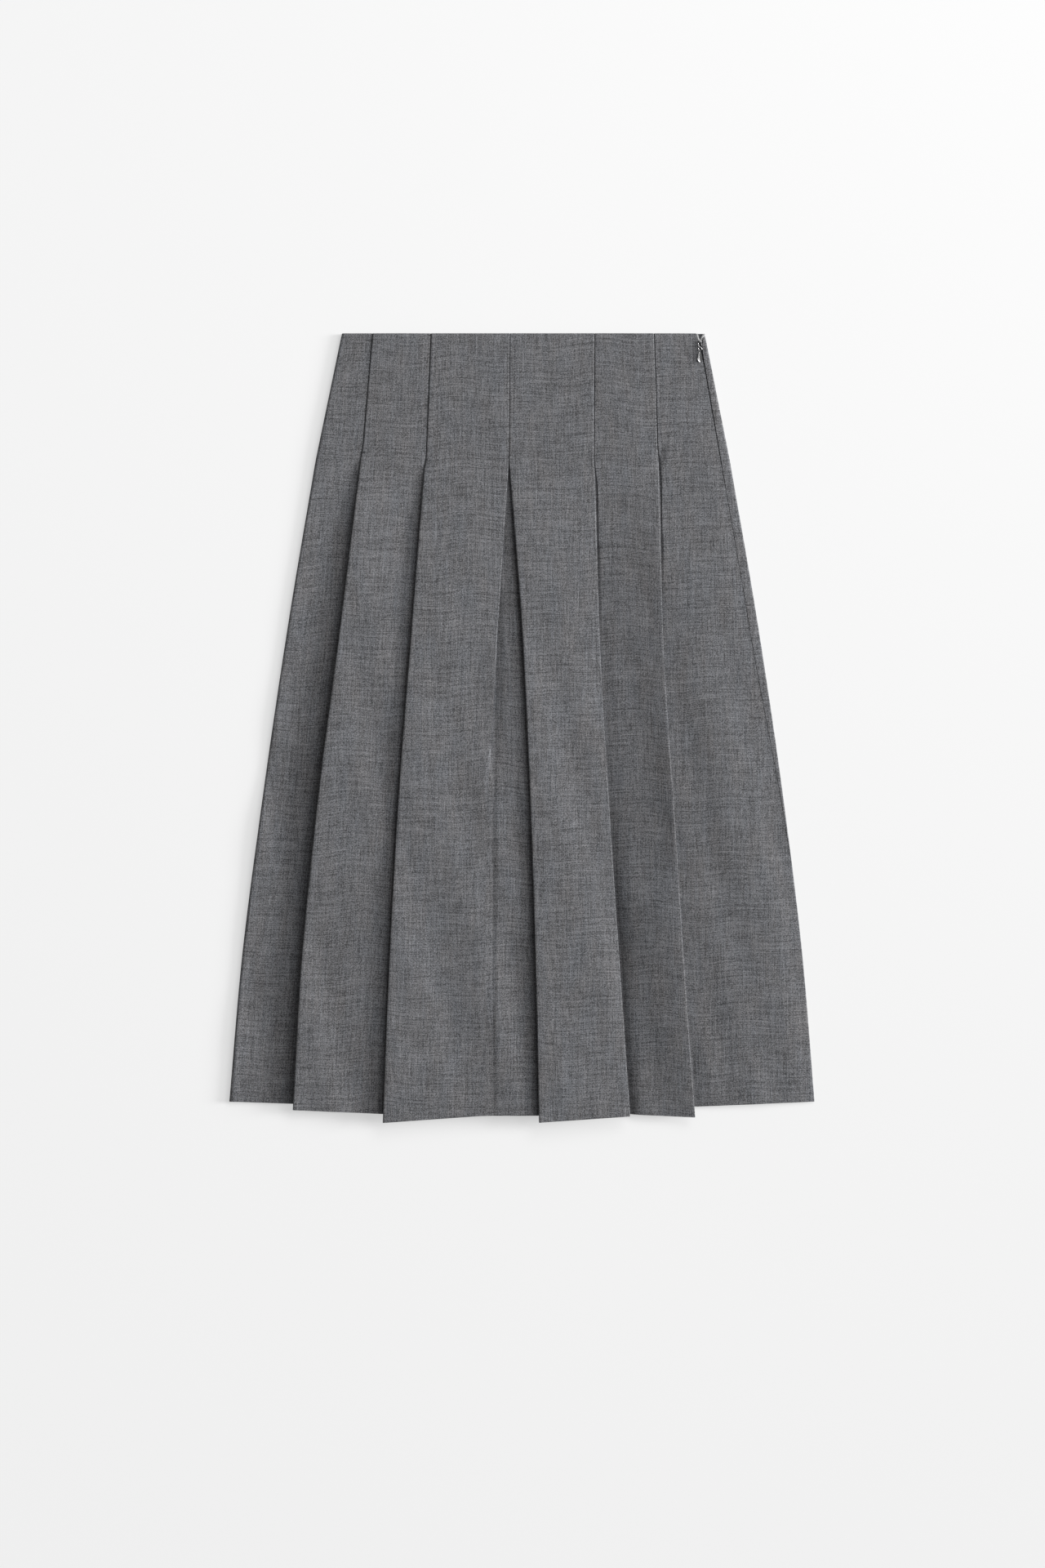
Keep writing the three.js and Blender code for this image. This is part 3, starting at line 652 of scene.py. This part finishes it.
def finish_piece(parts, name, body, material, node=None):
    """Join parts into one named piece that rides a body."""
    bpy.ops.object.select_all(action="DESELECT")
    for part in parts:
        part.select_set(True)
    bpy.context.view_layer.objects.active = parts[0]
    if len(parts) > 1:
        bpy.ops.object.join()
    piece = bpy.context.object
    piece.name = piece.data.name = name
    bpy.ops.object.transform_apply(location=True, rotation=True, scale=True)
    bpy.ops.object.shade_smooth_by_angle(angle=math.radians(40))
    piece.data.materials.clear()
    piece.data.materials.append(material)
    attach(piece, body)
    if node:
        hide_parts(node)
    bpy.ops.object.select_all(action="DESELECT")
    return piece


# the bar that the pull turns on
PIN_X, PIN_Y, PIN_Z = 176.5, 375.7, 5.85
metal = metal_finish("polished_nickel", (0.36, 0.36, 0.37, 1), (0.5, 0.5, 0.5, 1))
# a much darker nickel for the slider plate: painted shade, for the shade that shows through the crown loop
plate_painted_shade_metal = metal_finish("nickel_painted_shade", (0.06, 0.06, 0.065, 1), (0.12, 0.12, 0.125, 1))
tape = tape_finish()
for name in ("zip_tape_front", "zip_tape_back"):
    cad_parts[name].data.materials.clear()
    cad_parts[name].data.materials.append(tape)

# the crown is a drawn-out loop, narrower at its two ends, on two posts
LOOP_Y = PIN_Y + 3.5
LOOP_MIDDLE = (PIN_X * MM, LOOP_Y * MM, PIN_Z * MM)
bpy.ops.mesh.primitive_torus_add(location=(PIN_X * MM, LOOP_Y * MM, (PIN_Z + 0.05) * MM), major_segments=28,
                                 minor_segments=10, major_radius=2.0 * MM, minor_radius=0.5 * MM)
loop = bpy.context.object
edit(everywhere, bpy.ops.transform.resize, value=(0.82, 1.5, 1.0), center_override=LOOP_MIDDLE)
edit(lambda px, py, pz: abs(py - LOOP_Y) > 2.2, bpy.ops.transform.resize, value=(0.7, 1.0, 1.0),
     center_override=LOOP_MIDDLE)
finish_piece([
    loop,
    block((PIN_X - 0.7, PIN_Y + 6.0, 2.9), (PIN_X + 0.7, PIN_Y + 7.0, 5.7), 0.2),
    block((PIN_X - 0.55, PIN_Y - 0.3, 2.9), (PIN_X + 0.55, PIN_Y + 0.3, 5.9), 0.12),
], "zip_slider_crown", "skirt", metal, "zip_slider")
# the plate below the loop is in the darker nickel, which is painted shade under the loop
plate = block((PIN_X - 2.2, PIN_Y - 1.6, 2.15), (PIN_X + 2.2, PIN_Y + 7.2, 3.0), 0.3)
finish_piece([plate], "zip_slider_plate", "skirt", plate_painted_shade_metal, "zip_slider")

# the pull is a block drawn out to a drop, with a dished face and a ring round the bar
DROP_TOP, DROP_LENGTH, DROP_WIDTH, DROP_THICK = 2.6, 11.6, 4.5, 1.2
DROP_CUTS = 11
WIDEST = 0.72
DISH = ((1.9, 0.13), (1.5, 0.12), (1.1, 0.09), (0.7, 0.05), (0.3, 0.02))
bpy.ops.mesh.primitive_cube_add(size=1, location=(PIN_X * MM, (PIN_Y - DROP_TOP - DROP_LENGTH / 2) * MM,
                                                  (PIN_Z + 0.1) * MM))
bpy.context.object.scale = (DROP_WIDTH * MM, DROP_LENGTH * MM, DROP_THICK * MM)
bpy.ops.object.transform_apply(location=True, rotation=True, scale=True)
edit(everywhere, bpy.ops.mesh.subdivide, number_cuts=DROP_CUTS)
for k in range(DROP_CUTS + 2):
    share = k / (DROP_CUTS + 1)
    row_y = PIN_Y - DROP_TOP - DROP_LENGTH * share
    if share < WIDEST:
        width = 0.28 + 0.72 * math.sin(math.pi / 2 * share / WIDEST) ** 1.6
    else:
        width = math.sqrt(max(0.02, 1 - ((share - WIDEST) / 0.29) ** 2))
    edit(lambda px, py, pz: abs(py - row_y) < 0.2, bpy.ops.transform.resize,
         value=(width, 1, 0.86 + 0.14 * width), center_override=(PIN_X * MM, row_y * MM, PIN_Z * MM))
    if 0 < k < DROP_CUTS + 1:
        for half, depth in DISH:
            edit(lambda px, py, pz: (pz > PIN_Z + 0.1 and abs(py - row_y) < 0.2
                                     and abs(px - PIN_X) < half * width),
                 bpy.ops.transform.translate, value=(0, 0, -depth * width ** 0.6 * MM))
drop_body = bpy.context.object
bpy.ops.mesh.primitive_torus_add(location=(PIN_X * MM, (PIN_Y - 0.95) * MM, PIN_Z * MM), major_segments=28,
                                 minor_segments=10, major_radius=1.6 * MM, minor_radius=0.42 * MM)
ring = bpy.context.object
finish_piece([drop_body, ring], "zip_pull_drop", "pull", metal, "zip_pull")

# coil ends above the slider, spreading to the two cloth edges
coil_nylon = coil_finish()
for name, foot, top, width in (("front", (PIN_X - 0.9, PIN_Y + 7.4), (173.6, 388.9), 1.7),
                               ("back", (PIN_X + 0.6, PIN_Y + 7.2), (180.6, 389.6), 2.6)):
    teeth = []
    for k in range(8):
        cx, cy = (mix(a, b, k / 7) for a, b in zip(foot, top))
        teeth.append(block((cx - width / 2, cy - 0.3, 1.7),
                           (cx + width / 2, cy + 0.3, 3.3 + 0.1 * k), 0.2, 1))
    finish_piece(teeth, "zip_coil_" + name, "skirt", coil_nylon)

# ---------------------------------------------------------------- sewing
thread = thread_finish()


def stitches(name, start, end, pitch, size):
    """A straight row of short stitches, each one half sunk in the cloth below it."""
    made = []
    count = int(math.dist(start, end) / pitch) + 1
    for k in range(count):
        cx, cy = (mix(a, b, k / max(1, count - 1)) for a, b in zip(start, end))
        top = front.ray_cast(Vector((cx, cy, 100)) * MM, Vector((0, 0, -1)))[1].z / MM
        made.append(block((cx - size[0] / 2, cy - size[1] / 2, top - 0.2),
                          (cx + size[0] / 2, cy + size[1] / 2, top + 0.15), 0.12, 1))
    finish_piece(made, name, "skirt", thread)


stitches("centre_topstitch", (-7.0, 376.5), (-7.4, 292.0), 2.4, (0.8, 1.3))
stitches("left_bar_tack", (-158.6, 272.6), (-155.0, 272.2), 0.8, (0.6, 1.6))

# ---------------------------------------------------------------- floor, light and camera
FLOOR_SIZE = 80
bpy.ops.mesh.primitive_plane_add(size=FLOOR_SIZE, location=(0, 0, -0.0003))
floor = bpy.context.object
floor.name = "floor"
bpy.ops.object.transform_apply(location=True, rotation=True, scale=True)
floor.data.materials.append(floor_finish())


def add_lamp(name, kind, place, aim, energy, **settings):
    light = bpy.data.lights.new(name, kind)
    light.energy = energy
    for key, value in settings.items():
        setattr(light, key, value)
    lamp = bpy.data.objects.new(name, light)
    bpy.context.scene.collection.objects.link(lamp)
    lamp.location = place
    lamp.rotation_euler = (Vector(aim) - Vector(place)).to_track_quat("-Z", "Y").to_euler()


def from_sky(azimuth, elevation, distance=4.0):
    a, e = math.radians(azimuth), math.radians(elevation)
    return distance * math.cos(e) * math.cos(a), distance * math.cos(e) * math.sin(a), distance * math.sin(e)


add_lamp("low_right", "SUN", from_sky(5, 16), (0, 0, 0), 4.1, angle=math.radians(16))
add_lamp("high_right", "SUN", from_sky(14, 34), (0, 0, 0), 1.3, angle=math.radians(28))
add_lamp("window", "AREA", (1.15, 1.5, 1.9), (0.2, 0.3, 0), 26, shape="RECTANGLE", size=1.6, size_y=1.2)
world = bpy.data.worlds.new("studio")
bpy.context.scene.world = world
world.use_nodes = True
world.node_tree.nodes["Background"].inputs["Color"].default_value = (1, 1, 1, 1)
world.node_tree.nodes["Background"].inputs["Strength"].default_value = 0.2

# the camera looks straight down on a field as high as the whole photograph, in metres
VIEW_HEIGHT = 3.4
FIELD_HEIGHT = 1.5504
FIELD_MIDDLE = (0.00085, -0.0555)
CLOTH_LEVEL = 0.005
camera = bpy.data.cameras.new("camera")
camera.sensor_width = 36
camera.lens = camera.sensor_width * VIEW_HEIGHT / FIELD_HEIGHT
camera.clip_end = 1.5 * FLOOR_SIZE
eye = bpy.data.objects.new("camera", camera)
bpy.context.scene.collection.objects.link(eye)
eye.location = (*FIELD_MIDDLE, VIEW_HEIGHT + CLOTH_LEVEL)
bpy.context.scene.camera = eye
bpy.context.scene.view_settings.view_transform = "Standard"
